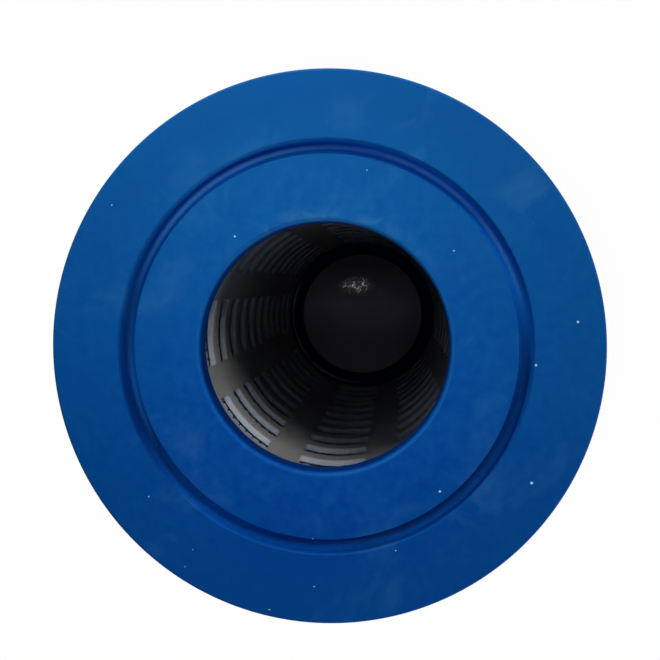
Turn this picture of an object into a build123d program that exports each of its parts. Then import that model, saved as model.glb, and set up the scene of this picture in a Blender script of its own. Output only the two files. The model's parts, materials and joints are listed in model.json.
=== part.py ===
"""Open-ended pleated filter cartridge for a spa, stood upright on its lower end cap.

Two cast polyurethane end caps hold a windowed core tube and a ring of pleated fabric. The fabric is
one long folded sheet, closed by a seam bead, and two straps keep its pleats evenly spread.
Frame: millimetres, +Z up the axis, origin at the centre of the lower cap's resting face.
"""

from build123d import *
import os
from math import cos, floor, pi, radians, sin, tan

# ---- Driving dimensions -------------------------------------------------------------------------
overall_length = 235.0
# End caps
cap_diameter = 125.4
cap_depth = 12.0
# Hole through each cap, and the lip round it, which rises inside the core tube
bore_diameter = 57.0
bore_edge_chamfer = 1.0
lip_thickness = 7.8
# Ring groove in each cap's outer face
groove_diameter = 90.4
groove_width = 3.4
groove_depth = 3.3
groove_wall_slope = 10.0
# Trough in each cap's inner side, in which the ends of the core and of the pleats are set
trough_depth = 6.5
# Core tube, its wall made of narrow flats
core_bore_diameter = 68.4
core_wall = 1.8
window_columns = 8
window_flats = 4  # flats across a window
rib_flats = 2  # flats across the solid rib between two columns of windows
window_height = 10.9
window_land = 6.5  # solid ring between two rows of windows
window_margin = 2.0  # least solid tube between a cap and the first row of windows
# Pleated fabric
media_thickness = 0.6
fold_spacing = 1.3  # clear space between two folds, where they lie closest, at the core
crease_depth = 0.9  # from the tip of a fold to the crease inside it
media_clearance = 0.1  # from the folds to the core, the troughs and the straps, and from core to lip
# Bead that joins the two ends of the fabric
seam_thickness = 0.8
seam_depth = 9.0
# Straps around the pleats
band_count = 2
band_width = 9.0
band_thickness = 0.9
band_lap_angle = 16.0
band_lap_heading = 150.0
# How far the caps stand out past the pleats
cap_overhang = 2.9

# ---- Sizes that follow --------------------------------------------------------------------------
cap_radius = cap_diameter / 2
bore_radius = bore_diameter / 2
groove_radius = groove_diameter / 2
groove_floor_width = groove_width - 2 * groove_depth * tan(radians(groove_wall_slope))
trough_floor = cap_depth - trough_depth
exposed_length = overall_length - 2 * cap_depth

core_inner_radius = core_bore_diameter / 2
core_outer_radius = core_inner_radius + core_wall
core_flats = window_columns * (window_flats + rib_flats)
flat_angle = 360 / core_flats
lip_radius = core_inner_radius * cos(radians(flat_angle / 2)) - media_clearance
window_pitch = window_height + window_land
window_rows = floor((exposed_length - 2 * window_margin + window_land) / window_pitch)
first_window = (overall_length - (window_rows - 1) * window_pitch - window_height) / 2

media_inner_radius = core_outer_radius + media_clearance
media_outer_radius = cap_radius - cap_overhang
seated_length = overall_length - 2 * trough_floor
fold_width = 2 * media_thickness
pleat_count = floor(2 * pi * media_inner_radius / (fold_width + fold_spacing))
pleat_angle = 360 / pleat_count
trough_radius = media_outer_radius + media_clearance
band_inner_radius = media_outer_radius + media_clearance
band_outer_radius = band_inner_radius + band_thickness


def beside(radius, heading, across=0.0):
    """Point at a radius along a heading in degrees, moved sideways by across."""
    turn = radians(heading)
    return (radius * cos(turn) - across * sin(turn), radius * sin(turn) + across * cos(turn))


def slice_of(radius, angle):
    """Corners of a three-sided slice, centred on the X axis, that reaches past the radius."""
    reach = radius / cos(radians(angle / 2))
    return [(0, 0), beside(reach, -angle / 2), beside(reach, angle / 2)]


# ---- End caps -----------------------------------------------------------------------------------
def end_cap(face_height, inward):
    """Cap with its outer face at face_height. Its depth runs inward: 1 is up and -1 is down."""

    def at(radius, depth):
        return (radius, face_height + inward * depth)

    with BuildPart() as cap:
        with BuildSketch(Plane.XZ) as section:
            Polygon(
                at(bore_radius, 0),
                at(cap_radius, 0),
                at(cap_radius, cap_depth),
                at(trough_radius, cap_depth),
                at(trough_radius, trough_floor),
                at(lip_radius, trough_floor),
                at(lip_radius, lip_thickness),
                at(bore_radius, lip_thickness),
            )
            on_face = section.vertices().filter_by_position(Axis.Y, face_height, face_height)
            chamfer(on_face.sort_by(Axis.X)[0], bore_edge_chamfer)
            Polygon(
                at(groove_radius - groove_width / 2, 0),
                at(groove_radius + groove_width / 2, 0),
                at(groove_radius + groove_floor_width / 2, groove_depth),
                at(groove_radius - groove_floor_width / 2, groove_depth),
                mode=Mode.SUBTRACT,
            )
        revolve(axis=Axis.Z)
    return cap


upper_end_cap = end_cap(overall_length, -1)
upper_end_cap.part.label = "upper_end_cap"
lower_end_cap = end_cap(0.0, 1)
lower_end_cap.part.label = "lower_end_cap"


# ---- Core tube, standing in the troughs of the two caps, round their lips ------------------------
def tube_outline(radius):
    """Corners of the tube's flats. The corners at each end of a window fall on its two edges."""
    return [beside(radius, (side - window_flats / 2) * flat_angle) for side in range(core_flats)]


with BuildPart() as core_tube:
    with BuildSketch(Plane.XY.offset(trough_floor)):
        Polygon(*tube_outline(core_outer_radius))
        Polygon(*tube_outline(core_inner_radius), mode=Mode.SUBTRACT)
    extrude(amount=seated_length)
    for row in range(window_rows):
        with BuildSketch(Plane.XY.offset(first_window + row * window_pitch)):
            with PolarLocations(0, window_columns):
                Polygon(*slice_of(core_outer_radius + core_wall, window_flats * flat_angle))
        extrude(amount=window_height, mode=Mode.SUBTRACT)
core_tube.part.label = "core_tube"


# ---- Pleated fabric and its seam, with their ends set in the troughs of the two caps --------------
def media_outline():
    """The zigzag sheet with its two ends at heading zero: its outer side out, its inner side back."""
    outer = [beside(media_outer_radius, 0, seam_thickness / 2 + media_thickness)]
    inner = [beside(media_outer_radius, 0, seam_thickness / 2)]
    for pleat in range(pleat_count):
        valley = (pleat + 0.5) * pleat_angle
        outer.append(beside(media_inner_radius + crease_depth, valley))
        inner.append(beside(media_inner_radius, valley, -fold_width / 2))
        inner.append(beside(media_inner_radius, valley, fold_width / 2))
        if pleat < pleat_count - 1:
            peak = (pleat + 1) * pleat_angle
            outer.append(beside(media_outer_radius, peak, -fold_width / 2))
            outer.append(beside(media_outer_radius, peak, fold_width / 2))
            inner.append(beside(media_outer_radius - crease_depth, peak))
    outer.append(beside(media_outer_radius, 0, -seam_thickness / 2 - media_thickness))
    inner.append(beside(media_outer_radius, 0, -seam_thickness / 2))
    return outer + inner[::-1]


def seam_outline():
    """The bead lies flush against both end legs of the sheet, from their edges inwards."""
    edge_x, edge_y = beside(media_outer_radius, 0, seam_thickness / 2)
    foot_x, foot_y = beside(media_inner_radius, pleat_angle / 2, -fold_width / 2)
    share = seam_depth / (edge_x - foot_x)
    end_x = edge_x + (foot_x - edge_x) * share
    end_y = edge_y + (foot_y - edge_y) * share
    return [(edge_x, edge_y), (end_x, end_y), (end_x, -end_y), (edge_x, -edge_y)]


with BuildPart() as pleated_media:
    with BuildSketch(Plane.XY.offset(trough_floor)):
        Polygon(*media_outline())
    extrude(amount=seated_length)
pleated_media.part.label = "pleated_media"

with BuildPart() as seam_bead:
    with BuildSketch(Plane.XY.offset(trough_floor)):
        Polygon(*seam_outline())
    extrude(amount=seated_length)
seam_bead.part.label = "seam_bead"


# ---- Straps round the pleats --------------------------------------------------------------------
def retaining_band(middle_height):
    """Flat strap whose end laps over its start."""
    with BuildPart() as strap:
        with BuildSketch(Plane.XY.offset(middle_height - band_width / 2)):
            Circle(band_outer_radius + band_thickness)
            lap = slice_of(band_outer_radius + band_thickness, band_lap_angle)
            Polygon(*lap, rotation=band_lap_heading, mode=Mode.INTERSECT)
            Circle(band_outer_radius)
            Circle(band_inner_radius, mode=Mode.SUBTRACT)
        extrude(amount=band_width)
    return strap


bands = []
for number in range(band_count):
    strap = retaining_band(cap_depth + exposed_length * (number + 1) / (band_count + 1))
    strap.part.label = f"retaining_band_{number + 1}"
    bands.append(strap)

# ---- One file for each piece --------------------------------------------------------------------
os.makedirs("parts", exist_ok=True)
for piece in [upper_end_cap, lower_end_cap, core_tube, pleated_media, seam_bead, *bands]:
    export_step(piece.part, f"parts/{piece.part.label}.step")
print("pleats", pleat_count, "window rows", window_rows)
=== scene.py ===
"""Looks of an open-ended pleated filter cartridge, in the order in which it is put together.

The lower cap is cast first, then come the core tube, the folded fabric with its glued seam, the straps
round the pleats and the upper cap. Lengths are in metres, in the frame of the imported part.
"""
import json
from types import SimpleNamespace

import bmesh
import bpy
import numpy as np
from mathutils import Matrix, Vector


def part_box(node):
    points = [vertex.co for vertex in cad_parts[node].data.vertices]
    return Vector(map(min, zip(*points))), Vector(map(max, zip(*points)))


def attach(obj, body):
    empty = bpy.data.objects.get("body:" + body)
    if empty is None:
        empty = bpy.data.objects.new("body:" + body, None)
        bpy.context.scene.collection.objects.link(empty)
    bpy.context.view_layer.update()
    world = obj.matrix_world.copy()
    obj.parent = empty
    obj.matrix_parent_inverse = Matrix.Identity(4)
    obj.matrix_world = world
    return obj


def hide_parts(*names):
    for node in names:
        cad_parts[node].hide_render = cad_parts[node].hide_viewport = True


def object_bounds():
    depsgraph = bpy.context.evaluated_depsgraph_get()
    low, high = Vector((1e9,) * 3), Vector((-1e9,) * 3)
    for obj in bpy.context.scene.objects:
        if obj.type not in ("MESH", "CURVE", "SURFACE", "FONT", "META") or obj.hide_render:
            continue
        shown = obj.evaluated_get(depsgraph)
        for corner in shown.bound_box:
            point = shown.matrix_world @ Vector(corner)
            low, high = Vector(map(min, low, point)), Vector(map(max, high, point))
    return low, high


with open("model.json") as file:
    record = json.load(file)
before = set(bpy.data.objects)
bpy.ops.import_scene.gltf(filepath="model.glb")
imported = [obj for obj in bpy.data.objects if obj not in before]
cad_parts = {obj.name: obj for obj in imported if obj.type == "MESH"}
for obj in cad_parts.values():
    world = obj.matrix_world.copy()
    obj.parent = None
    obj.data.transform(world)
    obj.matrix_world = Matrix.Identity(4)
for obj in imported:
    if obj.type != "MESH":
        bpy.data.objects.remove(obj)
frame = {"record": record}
cad_low, cad_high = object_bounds()

# ---- Lower end cap --------------------------------------------------------------------------------
# Each end is cast in coloured polyurethane in an open mould. The mould leaves a ring groove in the flat
# face and a lip round the hole, which rises inside the core. Core and pleats stand in it while it sets.
cap_low, cap_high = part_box("lower_end_cap")
cap_radius = cap_high.x
cap_depth = cap_high.z - cap_low.z
lower_bore = next(mount for mount in frame["record"]["mounts"] if mount["name"] == "lower_bore")
hole_radius = lower_bore["dims"]["r_mm"] / 1000
lip_thickness = lower_bore["pos_m"][2] + lower_bore["dims"]["length_mm"] / 2000
core_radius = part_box("core_tube")[1].x
core_wall = 0.0018
core_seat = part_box("core_tube")[0].z - cad_low.z
lip_radius = core_radius - core_wall
groove_inner_radius = 0.0435
groove_outer_radius = 0.0469
groove_depth = 0.0033
groove_draft = 0.0005
groove_floor_middle = (groove_inner_radius + groove_outer_radius) / 2 + 0.0003
rim_width = 0.0022
rim_draft = 0.0003
potting_drop = 0.0012
cap_turns = 288
middle_height = (cad_low.z + cad_high.z) / 2
half_length = cad_high.z - middle_height
# Blues of the face, by the hole and by the rim, each from its deeper to its paler side: the paler side is
# painted light toward +Y, and the duller blues toward the rim are painted shade
hole_side_blues = (0.0001, 0.040, 0.262, 1), (0.0038, 0.095, 0.316, 1)
rim_side_blues = (0.0002, 0.048, 0.228, 1), (0.0030, 0.074, 0.264, 1)
dust_blue = (0.07, 0.26, 0.52, 1)
lint_blue = (0.42, 0.72, 0.95, 1)
# Round the hole: painted shade down inside it, a painted highlight along its rounded edge, and a pale
# painted highlight on the end of the lip
painted_hole_shade_blue = (0.0002, 0.012, 0.085, 1)
painted_edge_highlight_blue = (0.010, 0.16, 0.44, 1)
painted_lip_highlight_white = (0.88, 0.89, 0.92, 1)
# In the groove: painted shade on its inner edge, painted light on its deep part, painted shade on its two
# walls, and dust with a painted highlight on its floor
painted_inner_edge_shade_blue = (0.0002, 0.014, 0.10, 1)
painted_groove_light_blue = (0.0010, 0.125, 0.560, 1)
painted_shade_outer_blue = (0.0002, 0.020, 0.13, 1)
painted_shade_inner_blue = (0.0002, 0.010, 0.13, 1)
floor_dust_and_highlight_blue = (0.11, 0.44, 1.0, 1)


def material(name, roughness, specular, sheen=0.0):
    """New material with its main shader; what is the same all over is set on the shader itself."""
    made = bpy.data.materials.new(name)
    made.use_nodes = True
    shader = made.node_tree.nodes["Principled BSDF"]
    shader.inputs["Roughness"].default_value = roughness
    shader.inputs["Specular IOR Level"].default_value = specular
    shader.inputs["Sheen Weight"].default_value = sheen
    return made, made.node_tree, shader


def fill(tree, socket, value):
    """Links a socket from another one, or gives it a plain value."""
    if isinstance(value, bpy.types.NodeSocket):
        tree.links.new(value, socket)
    else:
        socket.default_value = value


def node(tree, kind, settings=(), **inputs):
    """New node of a kind. Inputs go by name, with underscores for spaces, or by number, as in _0."""
    made = tree.nodes.new(kind)
    for key, value in dict(settings).items():
        setattr(made, key, value)
    for key, value in inputs.items():
        number = key[1:]
        fill(tree, made.inputs[int(number) if number.isdigit() else key.replace("_", " ")], value)
    return made


def calculated(tree, operation, *values):
    """Result of one math operation on the values or sockets given."""
    numbered = {f"_{number}": value for number, value in enumerate(values)}
    return node(tree, "ShaderNodeMath", {"operation": operation}, **numbered).outputs[0]


def product(tree, *shares):
    """Shares multiplied together."""
    found = shares[0]
    for share in shares[1:]:
        found = calculated(tree, "MULTIPLY", found, share)
    return found


def mapped(tree, value, low, high, to_low=0.0, to_high=1.0):
    """Value moved from the range low to high into the range to_low to to_high, and held there."""
    ends = {"From_Min": low, "From_Max": high, "To_Min": to_low, "To_Max": to_high}
    return node(tree, "ShaderNodeMapRange", Value=value, **ends).outputs["Result"]


def between(tree, value, low, high, slope):
    """1 for values from low to high and 0 for others, with a slope of the given width inside each end."""
    rise = mapped(tree, value, low, low + slope)
    fall = mapped(tree, value, high - slope, high, 1.0, 0.0)
    return product(tree, rise, fall)


def mixed(tree, share, first, second):
    """Colour that goes from first to second as share goes from 0 to 1."""
    return node(tree, "ShaderNodeMix", {"data_type": "RGBA"}, _0=share, _6=first, _7=second).outputs[2]


def noise(tree, place, scale, detail=2.0, roughness=0.5, distortion=0.0):
    """Smooth random value from 0 to 1 over the place given, with scale blobs to the metre."""
    settings = {"Scale": scale, "Detail": detail, "Roughness": roughness, "Distortion": distortion}
    return node(tree, "ShaderNodeTexNoise", Vector=place, **settings).outputs["Fac"]


def distance(tree, place):
    """Length of the vector to a place."""
    return node(tree, "ShaderNodeVectorMath", {"operation": "LENGTH"}, _0=place).outputs["Value"]


def position(tree):
    """Where a point lies: its Object coordinates as place, x and y, its radius, which is the distance from
    the axis, and its depth, which is how far in it lies from the outer face of the nearer cap."""
    place = node(tree, "ShaderNodeTexCoord").outputs["Object"]
    x, y, z = node(tree, "ShaderNodeSeparateXYZ", Vector=place).outputs
    radius = distance(tree, node(tree, "ShaderNodeCombineXYZ", X=x, Y=y).outputs[0])
    off_middle = calculated(tree, "ABSOLUTE", calculated(tree, "SUBTRACT", z, middle_height))
    depth = calculated(tree, "SUBTRACT", half_length, off_middle)
    return SimpleNamespace(place=place, x=x, y=y, radius=radius, depth=depth)


def relief(tree, shader, height, strength, depth):
    """Fine relief: the shader's normal is tilted by the slope of the height."""
    bump = node(tree, "ShaderNodeBump", Height=height, Strength=strength, Distance=depth)
    fill(tree, shader.inputs["Normal"], bump.outputs["Normal"])


def face_blue(tree, at):
    """Blue of the compound, uneven with slow clouds and a fine mottle. It is painted paler toward +Y, as
    painted light, and duller toward the rim than by the hole, as painted shade."""
    clouds = mapped(tree, noise(tree, at.place, 22.0, 3.0), 0.3, 0.7, -0.09, 0.09)
    mottle = mapped(tree, noise(tree, at.place, 420.0, 3.0, 0.6), 0.3, 0.7, -0.17, 0.17)
    # Painted light: paler toward +Y, with the random clouds and mottle added on
    paler = mapped(tree, at.y, -0.050, 0.045)
    paler = calculated(tree, "ADD", paler, calculated(tree, "ADD", clouds, mottle))
    hole_side = mixed(tree, paler, *hole_side_blues)
    rim_side = mixed(tree, paler, *rim_side_blues)
    # Painted shade: duller blues toward the rim than by the hole
    return mixed(tree, mapped(tree, at.radius, 0.032, 0.056), hole_side, rim_side)


def dusty(tree, at, colour):
    """Dust over the colour: a thin bloom in patches and, on the +Y side close to the hole, a streaky smear.
    Where both lie, the denser one counts."""
    bloom = mapped(tree, noise(tree, at.place, 42.0, 4.0, 0.62, 0.6), 0.56, 0.80, 0.0, 0.16)
    streaks = mapped(tree, noise(tree, at.place, 150.0, 4.0, 0.6, 1.0), 0.45, 0.66, 0.02, 0.28)
    by_hole = mapped(tree, at.radius, 0.0298, 0.0325, 1.0, 0.0)
    smear = product(tree, by_hole, mapped(tree, at.y, 0.016, 0.028), streaks)
    return mixed(tree, calculated(tree, "MAXIMUM", bloom, smear), colour, dust_blue)


def hole_shaded(tree, at, colour):
    """Painted shade and highlights round the hole: painted shade, darker the deeper in it; a pale painted
    highlight on the end of the lip, on its side toward -X and -Y; and a brighter painted highlight along the
    rounded edge, which grows toward +X."""
    inside = mapped(tree, at.radius, hole_radius + 0.0016, hole_radius + 0.0018, 1.0, 0.0)
    # Painted shade: darker the deeper into the hole
    down = mapped(tree, at.depth, 0.0004, 0.0026, 0.0, 0.92)
    colour = mixed(tree, product(tree, down, inside), colour, painted_hole_shade_blue)
    # Painted highlight: a pale arc on the end of the lip, on its side toward -X and -Y
    lip_end = mapped(tree, at.depth, lip_thickness - 0.0005, lip_thickness - 0.0003)
    lip_middle = between(tree, at.radius, lip_radius - 0.0021, lip_radius - 0.0008, 0.0003)
    painted_lip_highlight = product(tree, lip_end, lip_middle, mapped(tree, at.x, -0.010, 0.004, 1.0, 0.0),
                      mapped(tree, at.y, 0.006, 0.016, 1.0, 0.0))
    colour = mixed(tree, painted_lip_highlight, colour, painted_lip_highlight_white)
    # Painted highlight: a brighter line along the rounded edge, growing toward +X
    on_edge = between(tree, at.radius, hole_radius + 0.0002, hole_radius + 0.0009, 0.0002)
    edge = product(tree, on_edge, mapped(tree, at.depth, 0.0005, 0.0007, 1.0, 0.0),
                   mapped(tree, at.x, -0.010, 0.020, 0.0, 0.35))
    return mixed(tree, edge, colour, painted_edge_highlight_blue)


def linty(tree, at, colour):
    """Specks of lint on the flat face. One in five random cells holds a round speck of its own size."""
    flat_cells = {"voronoi_dimensions": "2D"}
    cells = node(tree, "ShaderNodeTexVoronoi", flat_cells, Vector=at.place, Scale=105.0).outputs
    chance = node(tree, "ShaderNodeSeparateColor", Color=cells["Color"]).outputs
    size = mapped(tree, chance["Green"], 0.0, 1.0, 0.011, 0.042)
    speck = mapped(tree, calculated(tree, "DIVIDE", cells["Distance"], size), 0.6, 1.0, 0.7, 0.0)
    on_face = product(tree, between(tree, at.radius, 0.0300, 0.0612, 0.0002),
                      mapped(tree, at.depth, 0.0001, 0.0003, 1.0, 0.0))
    held = mapped(tree, chance["Red"], 0.80, 0.81)
    return mixed(tree, product(tree, speck, on_face, held), colour, lint_blue)


def groove_shaded(tree, at, colour):
    """Painted light and shade in the groove, by heading and by the place across it. Its inner edge has painted
    shade at +Y. Its deep part is painted brighter, as painted light, most at -Y and +Y, and on the outer wall
    from +X to -Y. The outer wall has painted shade at -X, and the inner wall from +X to -Y. Dust and a
    painted highlight lie along the middle of its floor, more of them toward +Y."""
    inner, outer = groove_inner_radius, groove_outer_radius
    across = calculated(tree, "SUBTRACT", at.radius, groove_floor_middle)
    in_groove = between(tree, at.radius, inner, outer + 0.0006, 0.0004)
    # Painted shade: the inner edge darker at +Y
    inner_edge = between(tree, at.radius, inner - 0.0003, inner + 0.0004, 0.0002)
    edge = product(tree, inner_edge, mapped(tree, at.y, 0.020, 0.040, 0.0, 0.35))
    colour = mixed(tree, edge, colour, painted_inner_edge_shade_blue)
    quarter = product(tree, mapped(tree, at.x, 0.004, 0.018), mapped(tree, at.y, -0.012, -0.002, 1.0, 0.0))
    # Painted light: the deep part brighter, most at -Y and +Y, and on the outer wall from +X to -Y
    painted_groove_light_low = product(tree, mapped(tree, at.y, -0.045, 0.0, 1.0, 0.3),
                       mapped(tree, at.x, 0.002, 0.020, 1.0, 0.4))
    painted_groove_light_high = mapped(tree, at.y, 0.0, 0.030, 0.3, 0.9)
    painted_groove_light_wall = product(tree, quarter, mapped(tree, across, 0.0001, 0.0007))
    painted_groove_light = calculated(tree, "MAXIMUM", calculated(tree, "MAXIMUM", painted_groove_light_low, painted_groove_light_high), painted_groove_light_wall)
    painted_groove_light = product(tree, in_groove, painted_groove_light, mapped(tree, at.depth, 0.0008, 0.0024))
    colour = mixed(tree, painted_groove_light, colour, painted_groove_light_blue)
    # Painted shade: the outer wall darker at -X
    painted_shade_outer = product(tree, in_groove, mapped(tree, at.x, -0.042, -0.028, 1.0, 0.0),
                         mapped(tree, at.y, -0.014, 0.010, 1.0, 0.45), mapped(tree, across, -0.0002, 0.0004))
    colour = mixed(tree, painted_shade_outer, colour, painted_shade_outer_blue)
    # Painted shade: the inner wall darker from +X to -Y
    painted_shade_inner = product(tree, in_groove, quarter, mapped(tree, across, -0.0004, 0.0004, 0.45, 0.0))
    colour = mixed(tree, painted_shade_inner, colour, painted_shade_inner_blue)
    # Dust and a painted highlight along the middle of the floor, more toward +Y
    on_floor = product(tree, mapped(tree, calculated(tree, "ABSOLUTE", across), 0.0002, 0.0007, 1.0, 0.0),
                       mapped(tree, at.depth, groove_depth * 0.7, groove_depth * 0.8))
    broken = mapped(tree, noise(tree, at.place, 260.0, 3.0), 0.3, 0.55, 0.85, 1.0)
    dust_and_highlight = product(tree, on_floor, mapped(tree, at.y, 0.010, 0.044, 0.05, 0.90), broken)
    return mixed(tree, dust_and_highlight, colour, floor_dust_and_highlight_blue)


def cast_polyurethane():
    """Satin blue casting compound with a fine skin and patchy gloss. Its colour is laid on in layers: the
    blue of the face with painted light and shade, dust, painted shade and highlights round the hole, lint, and
    painted light and shade in the groove."""
    made, tree, shader = material("cast_polyurethane", roughness=0.5, specular=0.03)
    at = position(tree)
    colour = face_blue(tree, at)
    for layer in (dusty, hole_shaded, linty, groove_shaded):
        colour = layer(tree, at, colour)
    fill(tree, shader.inputs["Base Color"], colour)
    gloss = mapped(tree, noise(tree, at.place, 60.0, 3.0), 0.3, 0.7, 0.44, 0.56)
    fill(tree, shader.inputs["Roughness"], gloss)
    relief(tree, shader, noise(tree, at.place, 1800.0, 3.0, 0.6), strength=0.12, depth=0.00012)
    return made


def rounded(corners, steps=6, guard=0.00012):
    """Closed outline through corners of (radius, height, rounding). Each corner becomes an arc that is
    tangent to both of its runs, with a guard point just before and just after it on the runs."""
    corners = np.array(corners, float)
    here = corners[:, :2]
    back = np.roll(here, 1, axis=0) - here
    ahead = np.roll(here, -1, axis=0) - here
    back /= np.linalg.norm(back, axis=1, keepdims=True)
    ahead /= np.linalg.norm(ahead, axis=1, keepdims=True)
    half = np.arccos(np.clip((back * ahead).sum(1), -1, 1)) / 2
    size = corners[:, 2:3]
    reach = size / np.tan(half)[:, None]
    middle = back + ahead
    middle /= np.linalg.norm(middle, axis=1, keepdims=True)
    centre = here + middle * size / np.sin(half)[:, None]
    swing = (np.pi / 2 - half)[:, None] * np.linspace(-1, 1, steps + 1)
    across = ahead - (ahead * middle).sum(1, keepdims=True) * middle
    across /= np.linalg.norm(across, axis=1, keepdims=True)
    arc = centre[:, None] + size[:, None] * (
        -np.cos(swing)[..., None] * middle[:, None] + np.sin(swing)[..., None] * across[:, None]
    )
    first = (here + back * (reach + guard))[:, None]
    last = (here + ahead * (reach + guard))[:, None]
    return np.concatenate([first, arc, last], axis=1).reshape(-1, 2)


def turned(outline):
    """Surface of revolution: each outline point (radius, height) goes round the Z axis in even steps."""
    turn = np.arange(cap_turns) * 2 * np.pi / cap_turns
    radius, height = outline[:, :1], outline[:, 1:]
    return np.stack(np.broadcast_arrays(radius * np.cos(turn), radius * np.sin(turn), height), axis=-1)


def skin(name, grid, closed_rows=False, ends=False, along=None, across=None):
    """Mesh over a grid of points, whose rows are closed loops: each cell is one four-sided face, and the
    last point of a row joins its first. The rows run on from the last to the first if closed_rows, and
    ends closes the first and the last with a flat face. Along and across are the rows' and columns' places
    in the UV map."""
    rows, columns = grid.shape[:2]
    row, column = np.meshgrid(np.arange(rows - (not closed_rows)), np.arange(columns), indexing="ij")
    corner_rows = np.stack([row, row + 1, row + 1, row], axis=-1).reshape(-1, 4)
    corner_columns = np.stack([column, column, column + 1, column + 1], axis=-1).reshape(-1, 4)
    faces = ((corner_rows % rows) * columns + corner_columns % columns).tolist()
    if ends:
        first = np.arange(columns)
        faces += [first.tolist(), (rows * columns - 1 - first).tolist()]
    mesh = bpy.data.meshes.new(name)
    mesh.from_pydata(grid.reshape(-1, 3), [], faces)
    if along is not None:
        place = np.stack([np.asarray(along)[corner_rows], np.asarray(across)[corner_columns]], axis=-1)
        place = np.concatenate([place.reshape(-1, 2), np.zeros((2 * columns * ends, 2))])
        layer = mesh.uv_layers.new(name="length_and_width")
        layer.data.foreach_set("uv", place.reshape(-1).astype(np.float32))
    return mesh


def piece(name, mesh, finish, cad_node):
    """Puts a finished mesh in the scene as a smooth piece that rides on the cartridge, for a CAD node."""
    mesh.polygons.foreach_set("use_smooth", np.ones(len(mesh.polygons), bool))
    mesh.materials.append(finish)
    made = bpy.data.objects.new(name, mesh)
    bpy.context.scene.collection.objects.link(made)
    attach(made, "root")
    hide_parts(cad_node)
    return made


def cap_outline(face_height, inward):
    """Half section of a cap as it is cast, as corners of (radius, depth, rounding). It goes along the hole
    from the end of the lip, out over the grooved face to the rim, and back along the compound's level."""
    rim_inner = cap_radius - rim_width
    potting_level = cap_depth - potting_drop
    section = [
        (hole_radius, lip_thickness, 0.0004),
        (hole_radius, 0, 0.0009),
        (groove_inner_radius, 0, 0.0002),
        (groove_inner_radius + groove_draft, groove_depth, 0.0006),
        (groove_outer_radius - groove_draft, groove_depth, 0.0009),
        (groove_outer_radius, 0, 0.0004),
        (cap_radius, 0, 0.0006),
        (cap_radius, cap_depth, 0.0005),
        (rim_inner, cap_depth, 0.0005),
        (rim_inner - rim_draft, potting_level, 0.0004),
        (core_radius, potting_level, 0.0003),
        (core_radius, core_seat, 0.0003),
        (lip_radius, core_seat, 0.0003),
        (lip_radius, lip_thickness, 0.0003),
    ]
    outline = rounded(section)
    outline[:, 1] = face_height + inward * outline[:, 1]
    return outline if inward > 0 else outline[::-1]


def cast_cap(cad_node, face_height, inward):
    """The finished cap: its half section turned round the Z axis."""
    name = cad_node + "_casting"
    mesh = skin(name, turned(cap_outline(face_height, inward)), closed_rows=True)
    piece(name, mesh, polyurethane, cad_node)


polyurethane = cast_polyurethane()
cast_cap("lower_end_cap", cad_low.z, 1)

# ---- Core tube ------------------------------------------------------------------------------------
# A moulded light grey tube stands between the two lips. Its wall has rows of curved windows, eight to a
# row, with slightly rounded corners, so that the water drawn through the fabric can reach the bore.
tube_low, tube_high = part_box("core_tube")
tube_inner = lip_radius
tube_middle = (tube_inner + core_radius) / 2
tube_end_ease = 0.0003
window_columns = 8
window_rows = 12
window_half_angle = np.radians(15.0)
window_height = 0.0109
window_pitch = 0.0174
window_corner = 0.0011
window_edge = 0.00025
corner_steps = 6
edge_steps = 3
side_steps = 6
row_steps = np.arange(window_rows) - (window_rows - 1) / 2
row_heights = (tube_low.z + tube_high.z) / 2 + row_steps * window_pitch
column_places = np.arange(window_columns) * 2 * np.pi / window_columns * tube_middle
weld_distance = 2e-6


def moulded_grey():
    """Light grey moulded plastic, a little uneven in tone. Off the wall of the bore, on its outside and in its
    windows, it is painted paler and bluer with a fine mottle: painted light, for the light from above on the
    window sills."""
    made, tree, shader = material("moulded_grey", roughness=0.5, specular=0.3)
    at = position(tree)
    tone = mapped(tree, noise(tree, at.place, 35.0, 3.0), 0.35, 0.65)
    plastic = mixed(tree, tone, (0.38, 0.385, 0.375, 1), (0.44, 0.445, 0.435, 1))
    # Painted light: paler, bluer colour off the wall of the bore, on the window sills and outside
    fine_mottle = mapped(tree, noise(tree, at.place, 700.0, 3.0), 0.3, 0.6, 0.7, 1.0)
    painted_light_off_bore = mapped(tree, at.radius, tube_inner + 0.0001, tube_inner + 0.0004)
    colour = mixed(tree, product(tree, fine_mottle, painted_light_off_bore), plastic, (0.74, 0.79, 0.88, 1))
    fill(tree, shader.inputs["Base Color"], colour)
    relief(tree, shader, noise(tree, at.place, 900.0, 2.0), strength=0.1, depth=0.0001)
    return made


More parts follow.
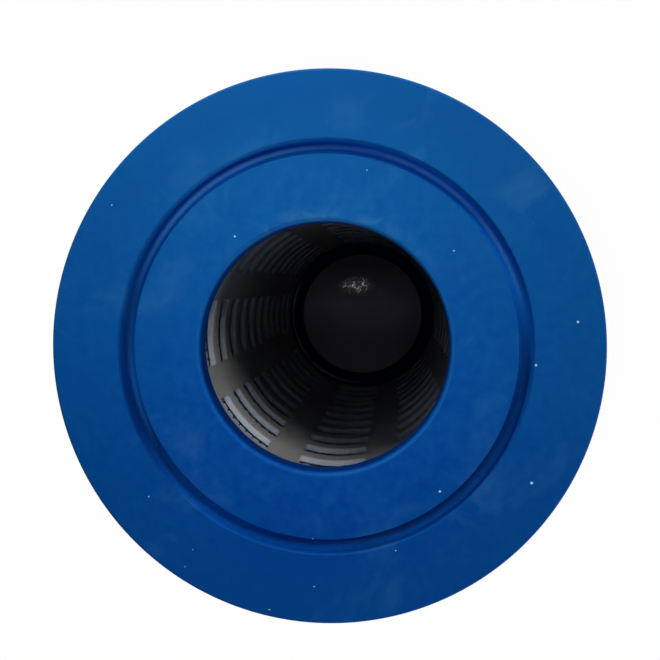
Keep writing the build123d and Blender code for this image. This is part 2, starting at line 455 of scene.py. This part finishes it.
def window_rings():
    """One window with the wall round it, flattened: x is round the tube at mid wall, y is along it.

    The outline is a rounded rectangle: four corner arcs, and steps along the top and bottom between them.
    Each outline point has a direction out of the window and a partner on the border of its share of the
    wall. Returns outline, direction and border, each as (points, 2)."""
    border_x = np.pi / window_columns * tube_middle
    inner_x = window_half_angle * tube_middle - window_corner
    inner_y = window_height / 2 - window_corner
    arc = np.linspace(0, np.pi / 2, corner_steps + 1)
    quarter = np.stack([inner_x + window_corner * np.cos(arc), inner_y + window_corner * np.sin(arc)], 1)
    way = np.stack([np.cos(arc), np.sin(arc)], 1)
    climb = np.minimum(np.linspace(0, 2, corner_steps + 1), 1)
    reach = np.maximum(np.linspace(0, 2, corner_steps + 1) - 1, 0)
    frame_x = border_x + (inner_x - border_x) * reach
    frame_y = inner_y + (window_pitch / 2 - inner_y) * climb
    quarter_border = np.stack([frame_x, frame_y], 1)
    side = np.linspace(inner_x, -inner_x, side_steps + 1)[1:-1]
    top = np.stack([side, np.full_like(side, window_height / 2)], 1)
    top_way = np.tile([0.0, 1.0], (len(side), 1))
    top_border = np.stack([side, np.full_like(side, window_pitch / 2)], 1)
    left, down = np.array([-1, 1]), np.array([1, -1])
    half = [
        np.concatenate([part, flat, part[::-1] * left])
        for part, flat in ((quarter, top), (way, top_way), (quarter_border, top_border))
    ]
    return [np.concatenate([part, part[::-1] * down]) for part in half]


def on_tube(x, y, radius):
    """Wraps flat points round the Z axis: x becomes an angle at mid wall, y the height."""
    turn = x / tube_middle
    return np.stack(np.broadcast_arrays(radius * np.cos(turn), radius * np.sin(turn), y), axis=-1)


def window_grids(outline, way, border):
    """Points of all windows, as (row, column, layer, place round the window, xyz).

    The layers go from the border in along the bore, round the window's eased edge, which is a quarter
    circle, through the wall, round the other edge and back to the border along the outside."""
    bend = np.linspace(0, np.pi / 2, edge_steps + 1)
    ease_off = window_edge * (1 - np.sin(bend))
    ease_in = window_edge * (1 - np.cos(bend))
    share = np.concatenate([[1.0, 0.5, 0.0], 0 * bend, 0 * bend, [0.0, 0.5, 1.0]])
    off = np.concatenate([[0, 0, 2 * window_edge], ease_off, ease_off[::-1], [2 * window_edge, 0, 0]])
    radius = np.concatenate([
        [tube_inner] * 3, tube_inner + ease_in, core_radius - ease_in[::-1], [core_radius] * 3,
    ])
    flat = outline + way * off[:, None, None]
    flat = flat + (border - outline) * share[:, None, None]
    x = flat[..., 0] + column_places[:, None, None]
    y = flat[..., 1] + row_heights[:, None, None, None]
    return on_tube(x, y, radius[:, None])


def end_ring(border, edge, end, inward):
    """Points of the plain ring from the windows' border to an end of the tube, whose corners are eased. They
    go round the tube at the border's own headings, so that the ring can be welded to the windows."""
    top = border[np.isclose(border[:, 1], window_pitch / 2)]
    heading = np.unique(np.round((top[:, 0] + column_places[:, None]).ravel() / tube_middle, 9))
    heading = heading[heading < heading[0] + 2 * np.pi - 1e-6]
    ease = inward * tube_end_ease * np.array([2, 1, 0])
    heights = np.concatenate([[edge], end + ease, end + ease[::-1], [edge]])
    eased = [tube_inner + tube_end_ease, core_radius - tube_end_ease]
    radii = np.array([tube_inner] * 3 + eased + [core_radius] * 3)
    return on_tube(heading * tube_middle, heights[:, None], radii[:, None])


def core_tube_mesh():
    """Windows by rows and columns and a ring at each end, welded into one shell along their borders."""
    outline, way, border = window_rings()
    windows = window_grids(outline, way, border)
    grids = [grid for row in windows for grid in row]
    grids.append(end_ring(border, row_heights[0] - window_pitch / 2, tube_low.z, 1))
    grids.append(end_ring(border, row_heights[-1] + window_pitch / 2, tube_high.z, -1))
    shell = bmesh.new()
    for grid in grids:
        part = skin("part", grid)
        shell.from_mesh(part)
        bpy.data.meshes.remove(part)
    bmesh.ops.remove_doubles(shell, verts=shell.verts, dist=weld_distance)
    bmesh.ops.recalc_face_normals(shell, faces=shell.faces)
    mesh = bpy.data.meshes.new("core_tube_moulding")
    shell.to_mesh(mesh)
    shell.free()
    return mesh


piece("core_tube_moulding", core_tube_mesh(), moulded_grey(), "core_tube")

# ---- Pleated fabric -------------------------------------------------------------------------------
# One long sheet of white spunbond polyester, folded into ninety pleats and bent into a ring. Its two
# ends meet in one pleat. The folds are potted at both ends, and between the straps they wander a little.
media_low, media_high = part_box("pleated_media")
sheet_thickness = 0.0006
sheet_levels = 27
pleat_count = 90
pleat_pitch = 2 * np.pi / pleat_count
pleat_outer = media_high.x
pleat_inner = core_radius + 0.0005
tip_bend = 0.00062
valley_bend = 0.00034
valley_flat = 0.00120
bend_steps = 3
leg_shares = (0.25, 0.6)
lean_size = 0.00075
seam_thickness = 0.0008
strap_heights = [(low.z + high.z) / 2 for low, high in map(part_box, ("retaining_band_1", "retaining_band_2"))]
draw = np.random.default_rng(7)


def spunbond():
    """White spunbond: matt, mottled fibres with a fine pressed grain. Toward the core it is painted a darker
    blue-grey, as painted shade where it lies behind the core, and just past the caps it is tinted by the blue
    compound that crept up it before it set."""
    made, tree, shader = material("spunbond", roughness=0.85, specular=0.15, sheen=0.15)
    at = position(tree)
    fine_mottle = noise(tree, at.place, 900.0, 6.0, 0.7, 0.4)
    colour = mixed(tree, mapped(tree, fine_mottle, 0.3, 0.7), (0.78, 0.79, 0.82, 1), (0.88, 0.89, 0.92, 1))
    # Painted shade: darker blue-grey toward the core
    painted_shade_by_core = mapped(tree, at.radius, core_radius + 0.0020, core_radius + 0.0030, 0.9, 0.0)
    colour = mixed(tree, painted_shade_by_core, colour, (0.36, 0.44, 0.60, 1))
    creep = mapped(tree, noise(tree, at.place, 260.0, 3.0), 0.35, 0.65, 0.0, 0.0010)
    front = calculated(tree, "SUBTRACT", at.depth, creep)
    soaked = mapped(tree, front, cap_depth - 0.0010, cap_depth + 0.0004, 0.75, 0.0)
    fill(tree, shader.inputs["Base Color"], mixed(tree, soaked, colour, (0.05, 0.16, 0.42, 1)))
    relief(tree, shader, fine_mottle, strength=0.5, depth=0.00015)
    return made


def arc_points(centre, radius, turn):
    """Points at a radius round a centre, at the angles given."""
    return centre + radius * np.stack([np.cos(turn), np.sin(turn)], 1)


def half_pleat():
    """Middle of the sheet from the tip of a pleat to the middle of the next valley, as radius and angle.

    Both bends are arcs, and the leg is the straight line that touches the two arcs on the sides that face
    each other. The valley has a flat, pressed against the core, between its two arcs."""
    half_pitch = pleat_pitch / 2
    tip = np.array([pleat_outer - sheet_thickness / 2 - tip_bend, 0.0])
    outward = np.array([np.cos(half_pitch), np.sin(half_pitch)])
    sideways = np.array([-np.sin(half_pitch), np.cos(half_pitch)])
    flat_middle = (pleat_inner + sheet_thickness / 2) * outward
    valley = flat_middle + valley_bend * outward - valley_flat / 2 * sideways
    gap = valley - tip
    lean = np.arctan2(gap[1], gap[0])
    slant = np.arcsin((tip_bend + valley_bend) / np.linalg.norm(gap))
    touch = lean + slant - np.pi / 2
    bend_out = arc_points(tip, tip_bend, np.linspace(0, touch, bend_steps + 1))
    bend_in = arc_points(valley, valley_bend, np.linspace(touch + np.pi, np.pi + half_pitch, bend_steps + 1))
    leg = bend_out[-1] + (bend_in[0] - bend_out[-1]) * np.array(leg_shares)[:, None]
    path = np.concatenate([bend_out, leg, bend_in, flat_middle[None]])
    return np.hypot(path[:, 0], path[:, 1]), np.arctan2(path[:, 1], path[:, 0])


def seam_half(closed_radius, closed_angle):
    """Half of the pleat where the sheet begins and ends. It has no bend at its tip: its leg runs straight on
    to the cut edge, at half the seam's thickness from the middle of the pleat."""
    edge = np.array([pleat_outer, (seam_thickness + sheet_thickness) / 2])
    turn = closed_angle[bend_steps]
    foot = closed_radius[bend_steps] * np.array([np.cos(turn), np.sin(turn)])
    run = edge + (foot - edge) * np.linspace(0, 1, bend_steps + 1)[:-1, None]
    radius, angle = np.hypot(run[:, 0], run[:, 1]), np.arctan2(run[:, 1], run[:, 0])
    return np.append(radius, closed_radius[bend_steps:]), np.append(angle, closed_angle[bend_steps:])


def wander(heights):
    """How far the tip of each pleat leans sideways, as (pleat, height). It is a sum of slow waves with a
    random size for each pleat, evened out between neighbours, and it dies away at the caps and straps,
    which hold the pleats. The seamed pleat stays straight."""
    held = np.sort([media_low.z + cap_depth / 2, *strap_heights, media_high.z - cap_depth / 2])
    span = np.clip(np.searchsorted(held, heights) - 1, 0, len(held) - 2)
    share = np.clip((heights - held[span]) / (held[span + 1] - held[span]), 0, 1)
    waves = np.arange(1, 4)
    size = draw.normal(size=(pleat_count, len(held) - 1, len(waves))) / waves
    for _ in range(2):
        size = 0.25 * np.roll(size, 1, axis=0) + 0.5 * size + 0.25 * np.roll(size, -1, axis=0)
    lean = (size[:, span] * np.sin(np.pi * share[:, None] * waves)).sum(-1)
    lean[0] = 0
    return lean * lean_size


def fold_line():
    """Middle of the sheet all the way round, as the radius, heading and pleat number of each point.

    It is half a pleat, mirrored and repeated. The halves of the seamed pleat are its first and its last."""
    radius, angle = half_pleat()
    open_radius, open_angle = seam_half(radius, angle)
    pleat = np.arange(pleat_count)[:, None]
    out_and_back = (np.concatenate([radius, radius[-2:0:-1]]) + 0.0 * pleat).ravel()
    turn = (np.concatenate([angle, pleat_pitch - angle[-2:0:-1]]) + pleat_pitch * pleat).ravel()
    owner = (np.concatenate([0 * angle, 0 * angle[-2:0:-1] + 1]).astype(int) + pleat).ravel()
    count = len(radius)
    out_and_back[:count], turn[:count] = open_radius, open_angle
    out_and_back[1 - count:], turn[1 - count:] = open_radius[:0:-1], 2 * np.pi - open_angle[:0:-1]
    out_and_back = np.append(out_and_back, open_radius[0])
    turn = np.append(turn, 2 * np.pi - open_angle[0])
    return out_and_back, turn, np.append(owner, pleat_count) % pleat_count


def fabric_grid():
    """Points of the folded sheet, as (place along the fold line, place round the cut, xyz), with the length
    along the fold line and the lengths round the cut.

    Each point of the fold line leans sideways with its pleat, by a share that grows from nothing at the
    core to the whole at the tip. The two faces of the sheet lie half its thickness to each side, along the
    line's normal. The cut goes up one face and down the other."""
    radius, heading, owner = fold_line()
    heights = np.linspace(media_low.z, media_high.z, sheet_levels)
    share = (radius - pleat_inner) / (pleat_outer - pleat_inner)
    turn = heading[:, None] + wander(heights)[owner] * share[:, None] / pleat_outer
    line = np.stack([radius[:, None] * np.cos(turn), radius[:, None] * np.sin(turn)], -1)
    way = np.gradient(line, axis=0)
    way /= np.linalg.norm(way, axis=-1, keepdims=True)
    side = np.stack([-way[..., 1], way[..., 0]], -1) * sheet_thickness / 2
    level = np.broadcast_to(heights[None, :, None], (*turn.shape, 1))
    faces = [np.concatenate([line + side, level], -1), np.concatenate([line - side, level], -1)[:, ::-1]]
    step = np.linalg.norm(np.diff(line[:, 0], axis=0), axis=-1)
    length = np.concatenate([[0], np.cumsum(step)])
    round_cut = np.concatenate([heights, heights[::-1], heights[:1]])
    return np.concatenate(faces, axis=1), length, round_cut


fabric_points, fabric_length, fabric_width = fabric_grid()
fabric_mesh = skin("pleated_fabric", fabric_points, ends=True, along=fabric_length, across=fabric_width)
fabric = piece("pleated_fabric", fabric_mesh, spunbond(), "pleated_media")

# ---- Seam of the fabric ---------------------------------------------------------------------------
# The two ends of the sheet are joined by a bead of hot-melt glue, run in between them along the whole
# length. It is drawn in by a nozzle, so its outer face is rounded and a little uneven.
bead_low, bead_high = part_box("seam_bead")
bead_levels = 96
bead_waves = np.array([310.0, 730.0, 1290.0, 2100.0])
bead_swell = 0.00002
bead_swell_spread = 0.00003
bead_width_spread = 0.06


def hot_melt():
    """Milky off-white glue with a soft gloss."""
    made, tree, shader = material("hot_melt", roughness=0.38, specular=0.4)
    tone = mapped(tree, noise(tree, position(tree).place, 160.0, 2.0), 0.35, 0.65)
    fill(tree, shader.inputs["Base Color"], mixed(tree, tone, (0.66, 0.66, 0.60, 1), (0.74, 0.74, 0.68, 1)))
    return made


def bead_grid():
    """Section of the bead, repeated up the seam. Each section runs round from the middle of the outer face,
    inward along one side and back along the other. Its width and the swell of its outer face are a plain
    size plus the mean of four slow waves with random phases."""
    height = np.linspace(bead_low.z, bead_high.z, bead_levels)
    phase = draw.uniform(0, 2 * np.pi, (2, len(bead_waves)))
    uneven = np.sin(height[:, None, None] * bead_waves + phase).mean(-1)
    swell = bead_swell + bead_swell_spread * uneven[:, :1]
    width = 1 + bead_width_spread * uneven[:, 1:]
    inward = np.array([0, 0.00004, 0.00012, 0.0009, 0.0087, bead_high.x - bead_low.x])
    half_width = np.array([0, 0.00022, 0.00041, 0.00034, 0.00025, 0.00010])
    swell_share = np.array([1.0, 0.7, 0, 0, 0, 0])
    x = bead_high.x - inward + swell * swell_share
    y = half_width * width
    x = np.concatenate([x, x[:, :0:-1]], axis=1)
    y = np.concatenate([y, -y[:, :0:-1]], axis=1)
    return np.stack([x, y, np.broadcast_to(height[:, None], x.shape)], axis=-1)


piece("seam_glue_bead", skin("seam_glue_bead", bead_grid(), ends=True), hot_melt(), "seam_bead")

# ---- Straps ---------------------------------------------------------------------------------------
# Two woven polyester tapes are drawn tight round the tips of the pleats to keep them evenly spread. The
# free end of each lies over its start, and both are welded together through rows of small dimples.
strap_thickness = 0.0009
strap_width = 0.009
strap_corner = 0.00022
strap_corner_steps = 3
strap_face_steps = 20
strap_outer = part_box("retaining_band_1")[1].x
strap_middle = strap_outer - strap_thickness / 2
strap_sag = 0.00012
strap_step = np.radians(0.5)
lap_heading = np.radians(150.0)
lap_half_angle = np.radians(8.0)
lap_inset = np.radians(0.8)
lap_climb = np.radians(4.2)
lap_climb_margin = np.radians(0.4)
lap_points = 66
strap_start = lap_heading - lap_half_angle + lap_inset
weld_pitch = 0.0018
weld_depth = 0.00016
weld_fade = 0.0006
weld_margin_start = 0.0012
weld_margin_end = 0.0022
weld_margin_side = 0.0009


def tape():
    """White woven tape: ribs across it and finer threads along it, both raised a little. The weave is the
    product of a sine wave along the tape and one across it."""
    made, tree, shader = material("woven_tape", roughness=0.7, specular=0.2, sheen=0.1)
    place = node(tree, "ShaderNodeUVMap", {"uv_map": "length_and_width"}).outputs["UV"]
    parts = node(tree, "ShaderNodeSeparateXYZ", Vector=place).outputs
    threads = []
    for axis, spacing in (("X", 0.00062), ("Y", 0.00046)):
        turn = calculated(tree, "MULTIPLY", parts[axis], 2 * np.pi / spacing)
        threads.append(calculated(tree, "SINE", turn))
    weave = mapped(tree, product(tree, *threads), -1, 1)
    fill(tree, shader.inputs["Base Color"], mixed(tree, weave, (0.60, 0.61, 0.62, 1), (0.78, 0.79, 0.80, 1)))
    relief(tree, shader, weave, strength=0.6, depth=0.0001)
    return made


def strap_section():
    """Cut across a strap, as (outward, upward) from its middle: a rectangle with arcs for its corners, and
    enough points on its outer face for the welds."""
    half_width, half_depth = strap_width / 2, strap_thickness / 2
    inset = np.array([half_depth - strap_corner, half_width - strap_corner])
    steps = np.linspace(-inset[1], inset[1], strap_face_steps + 1)[1:-1]
    outer_face = np.stack([np.full_like(steps, half_depth), steps], 1)
    inner_face = np.array([[-half_depth, half_width / 3], [-half_depth, -half_width / 3]])
    corner = arc_points(inset, strap_corner, np.linspace(0, np.pi / 2, strap_corner_steps + 1))
    across, down = np.array([-1, 1]), np.array([1, -1])
    corners = corner, corner[::-1] * across, -corner, corner[::-1] * down
    return np.concatenate([outer_face, *corners[:2], inner_face, *corners[2:]])


def weld_dimples(into_lap, section):
    """Depth of the welds, as (place along the strap, place round its section). It follows a squared sine
    wave along the strap, which fades out near the lap's ends, times one across its outer face, both to the
    power of 1.5, so that the dimples are narrower than what is between them."""
    lap_length = 2 * lap_half_angle * strap_outer
    from_start = np.clip((into_lap - weld_margin_start) / weld_fade, 0, 1)
    to_end = np.clip((lap_length - weld_margin_end - into_lap) / weld_fade, 0, 1)
    along = from_start * to_end * np.sin(np.pi * into_lap / weld_pitch) ** 2
    outer_face = section[:, 0] > strap_thickness / 2 - 1e-9
    on_face = outer_face * (abs(section[:, 1]) < strap_width / 2 - weld_margin_side)
    across = on_face * np.sin(np.pi * section[:, 1] / weld_pitch) ** 2
    return weld_depth * along[:, None] ** 1.5 * across ** 1.5


def strap_grid(centre_height):
    """Points of one strap, as (place along it, place round its section, xyz), with both lengths.

    The path goes once round from its start and on over the start to the end of the lap. Its radius dips
    between the tips of the pleats, and climbs smoothly by one thickness just before it passes over its
    start."""
    section = strap_section()
    lap_begin = 2 * np.pi - lap_climb
    round_trip = np.arange(0, lap_begin, strap_step)
    over = np.linspace(lap_begin, 2 * np.pi + 2 * lap_half_angle - lap_inset, lap_points)
    turn = strap_start + np.concatenate([round_trip, over])
    climb = np.clip((turn - strap_start - lap_begin) / (lap_climb - lap_climb_margin), 0, 1)
    climb = climb * climb * (3 - 2 * climb)
    dip = strap_sag * (1 - np.cos(turn * pleat_count)) / 2 * (1 - climb)
    centre = strap_middle + strap_thickness * climb - dip
    into_lap = (turn - strap_start - 2 * np.pi) * strap_outer
    radius = centre[:, None] + section[:, 0] - weld_dimples(into_lap, section)
    level = centre_height + section[:, 1] + 0 * radius
    grid = np.stack([radius * np.cos(turn)[:, None], radius * np.sin(turn)[:, None], level], axis=-1)
    travel = np.concatenate([[0], np.cumsum(np.diff(turn) * centre[1:])])
    girth = np.linalg.norm(np.roll(section, -1, axis=0) - section, axis=1)
    return grid, travel, np.concatenate([[0], np.cumsum(girth)])


woven_tape = tape()
for number, strap_height in enumerate(strap_heights, 1):
    strap_name = f"strap_{number}"
    points, strap_along, strap_across = strap_grid(strap_height)
    strap_mesh = skin(strap_name, points, ends=True, along=strap_along, across=strap_across)
    piece(strap_name, strap_mesh, woven_tape, f"retaining_band_{number}")

# ---- Upper end cap --------------------------------------------------------------------------------
# When the lower cap has set, the pack is turned over and its other end is cast in the same mould. The two
# caps then hold both edges of the folded sheet.
cast_cap("upper_end_cap", cad_high.z, -1)

# ---- Stage ----------------------------------------------------------------------------------------
# The cartridge stands on a plain pale floor. Under it lies a small round sheet of dull rumpled film, which
# shows only through the bore. It has a painted glow and painted glints.
scene = bpy.context.scene
floor_reach = 3.0
floor_drop = 0.0003
film_radius = 0.0292
film_points = 72
# Place and squeeze of the oval of painted glints
painted_glint_centre = (-0.0032, 0.0136, 0.0)
painted_glint_squeeze = (0.50, 1.0, 0.0)


def seen_directly(tree):
    """1 on rays that show a thing as it is, from the camera or by way of metal or glass; 0 on others."""
    rays = node(tree, "ShaderNodeLightPath").outputs
    either = calculated(tree, "MAXIMUM", rays["Is Camera Ray"], rays["Is Glossy Ray"])
    return calculated(tree, "MAXIMUM", either, rays["Is Transmission Ray"])


def joined(tree, share, first, second):
    """Shader that goes from first to second as share goes from 0 to 1."""
    return node(tree, "ShaderNodeMixShader", _0=share, _1=first, _2=second).outputs[0]


def glowing(tree, share, shader):
    """Shader with a white glow of strength 1 in its place, by the share given."""
    glow = node(tree, "ShaderNodeEmission", Color=(1, 1, 1, 1), Strength=1.0)
    return joined(tree, share, shader.outputs[0], glow.outputs[0])


def let_through(tree, share, shown):
    """Ends a material: it shows a shader where share is 0 and lets rays through where share is 1."""
    clear = node(tree, "ShaderNodeBsdfTransparent")
    surface = joined(tree, share, shown, clear.outputs[0])
    fill(tree, tree.nodes["Material Output"].inputs["Surface"], surface)


def pale_floor():
    """Pale floor that shows as white away from the cartridge and keeps a soft shadow round it. It is clear
    from below, and under the cap it lets the light from below through, so that the underside is lit."""
    made, tree, shader = material("pale_floor", roughness=0.9, specular=0.0)
    shader.inputs["Base Color"].default_value = (0.86, 0.86, 0.86, 1)
    reach = distance(tree, node(tree, "ShaderNodeTexCoord").outputs["Object"])
    white = product(tree, seen_directly(tree), mapped(tree, reach, 0.10, 0.135, 0.75, 0.985))
    rays = node(tree, "ShaderNodeLightPath").outputs
    light = calculated(tree, "MAXIMUM", rays["Is Diffuse Ray"], rays["Is Shadow Ray"])
    under_cap = product(tree, light, mapped(tree, reach, 0.0620, 0.0622, 1.0, 0.0))
    from_below = node(tree, "ShaderNodeNewGeometry").outputs["Backfacing"]
    let_through(tree, calculated(tree, "MAXIMUM", from_below, under_cap), glowing(tree, white, shader))
    return made


def rumpled_sheet():
    """Dull rumpled film, clear from below. It has a faint cloudy painted glow, strongest near the middle,
    and in an oval off the middle a few of its creases carry painted glints."""
    made, tree, shader = material("rumpled_sheet", roughness=0.8, specular=0.0)
    shader.inputs["Base Color"].default_value = (0.1, 0.1, 0.11, 1)
    shader.inputs["Emission Strength"].default_value = 1.0
    at = position(tree)
    clouds = mapped(tree, noise(tree, at.place, 90.0, 3.0), 0.3, 0.7, 0.75, 1.0)
    aside = mapped(tree, calculated(tree, "ABSOLUTE", at.x), 0.008, 0.028, 1.0, 0.5)
    cloudy = product(tree, clouds, aside, mapped(tree, at.y, 0.004, 0.024, 1.0, 0.1),
                     mapped(tree, at.y, -0.012, 0.004, 0.45, 1.0))
    # Painted light: a faint cloudy glow in the film's emission
    glow = mixed(tree, cloudy, (0.0014, 0.0014, 0.0020, 1), (0.0092, 0.0086, 0.0112, 1))
    fill(tree, shader.inputs["Emission Color"], glow)
    # Painted glints: white glow on a few creases in an oval off the middle
    creases = mapped(tree, noise(tree, at.place, 480.0, 5.0, 0.7, 1.6), 0.56, 0.70, 0.012, 1.0)
    off_centre = node(tree, "ShaderNodeVectorMath", {"operation": "SUBTRACT"}, _0=at.place, _1=painted_glint_centre)
    squeezed = node(tree, "ShaderNodeVectorMath", {"operation": "MULTIPLY"}, _0=off_centre.outputs[0],
                    _1=painted_glint_squeeze)
    painted_glint = mapped(tree, distance(tree, squeezed.outputs[0]), 0.0008, 0.0046, 1.0, 0.0)
    from_below = node(tree, "ShaderNodeNewGeometry").outputs["Backfacing"]
    let_through(tree, from_below, glowing(tree, product(tree, creases, painted_glint), shader))
    return made


def staged(name, outline, drop, finish):
    """Flat face of the stage through the corners given, a small drop below the cartridge."""
    mesh = bpy.data.meshes.new(name)
    corners = [(x, y, cad_low.z - drop) for x, y in outline]
    mesh.from_pydata(corners, [], [tuple(range(len(corners)))])
    mesh.materials.append(finish)
    made = bpy.data.objects.new(name, mesh)
    scene.collection.objects.link(made)


square = floor_reach * np.array([(-1, -1), (1, -1), (1, 1), (-1, 1)])
circle = arc_points(np.zeros(2), film_radius, np.linspace(0, 2 * np.pi, film_points + 1)[:-1])
staged("floor", square, floor_drop, pale_floor())
staged("rumpled_sheet", circle, floor_drop / 2, rumpled_sheet())

# ---- Studio light ---------------------------------------------------------------------------------
# Soft light from a ring of sky low over the horizon, with a stronger glow from below, and from three oval
# softboxes: a wide one high up, a wider one lower down, and a small one close to the upper cap.
scene.view_settings.view_transform = "Standard"


def studio_sky():
    """World that is white where it is seen directly. Its light comes from a soft-edged ring a little above
    the horizon and, more than twice as strong, from below."""
    world = bpy.data.worlds.new("studio")
    world.use_nodes = True
    sky = world.node_tree
    direction = node(sky, "ShaderNodeTexCoord").outputs["Generated"]
    height = node(sky, "ShaderNodeSeparateXYZ", Vector=direction).outputs["Z"]
    ring = product(sky, mapped(sky, height, 0.10, 0.24), mapped(sky, height, 0.44, 0.58, 0.3, 0.0))
    light = calculated(sky, "ADD", ring, mapped(sky, height, -0.3, -0.05, 0.8, 0.0))
    background = sky.nodes["Background"]
    fill(sky, background.inputs["Strength"], mapped(sky, seen_directly(sky), 0.0, 1.0, light, 1.0))
    background.inputs["Color"].default_value = (1, 1, 1, 1)
    return world


def softbox(name, heading, elevation, away, size, power, colour):
    """Oval area lamp that looks at the middle of the upper face from a heading and an elevation."""
    lamp = bpy.data.lights.new(name, "AREA")
    lamp.shape = "ELLIPSE"
    lamp.size, lamp.size_y = size
    lamp.energy = power
    lamp.color = colour
    turn, climb = np.radians((heading, elevation))
    toward = Vector((np.cos(turn) * np.cos(climb), np.sin(turn) * np.cos(climb), np.sin(climb)))
    made = bpy.data.objects.new(name, lamp)
    made.location = Vector((0, 0, cad_high.z)) + toward * away
    made.rotation_mode = "QUATERNION"
    made.rotation_quaternion = toward.to_track_quat("Z", "Y")
    made.visible_camera = False
    scene.collection.objects.link(made)


scene.world = studio_sky()
softbox("window", 51.5, 46, away=1.4, size=(1.5, 0.45), power=10.0, colour=(1.0, 0.98, 0.95))
softbox("wide_fill", 311.5, 24, away=1.5, size=(2.2, 0.8), power=17.5, colour=(1.0, 1.0, 1.0))
softbox("back_light", 105.5, 18, away=0.28, size=(0.10, 0.10), power=0.86, colour=(1.0, 0.98, 0.94))

# ---- Camera ---------------------------------------------------------------------------------------
# It looks down into the upper cap from 20 cm above it, a little off the axis, so that one side of the
# bore shows down to the lower cap. It leans over by about four degrees.
camera = bpy.data.cameras.new("camera")
camera.lens = 49.08
camera.sensor_width = 36.0
camera.shift_y = -0.0440
eye = bpy.data.objects.new("camera", camera)
eye.location = (0.01578, 0.01458, cad_high.z + 0.20173)
eye.rotation_euler = (-0.01829, 0.07284, 0.02618)
scene.collection.objects.link(eye)
scene.camera = eye
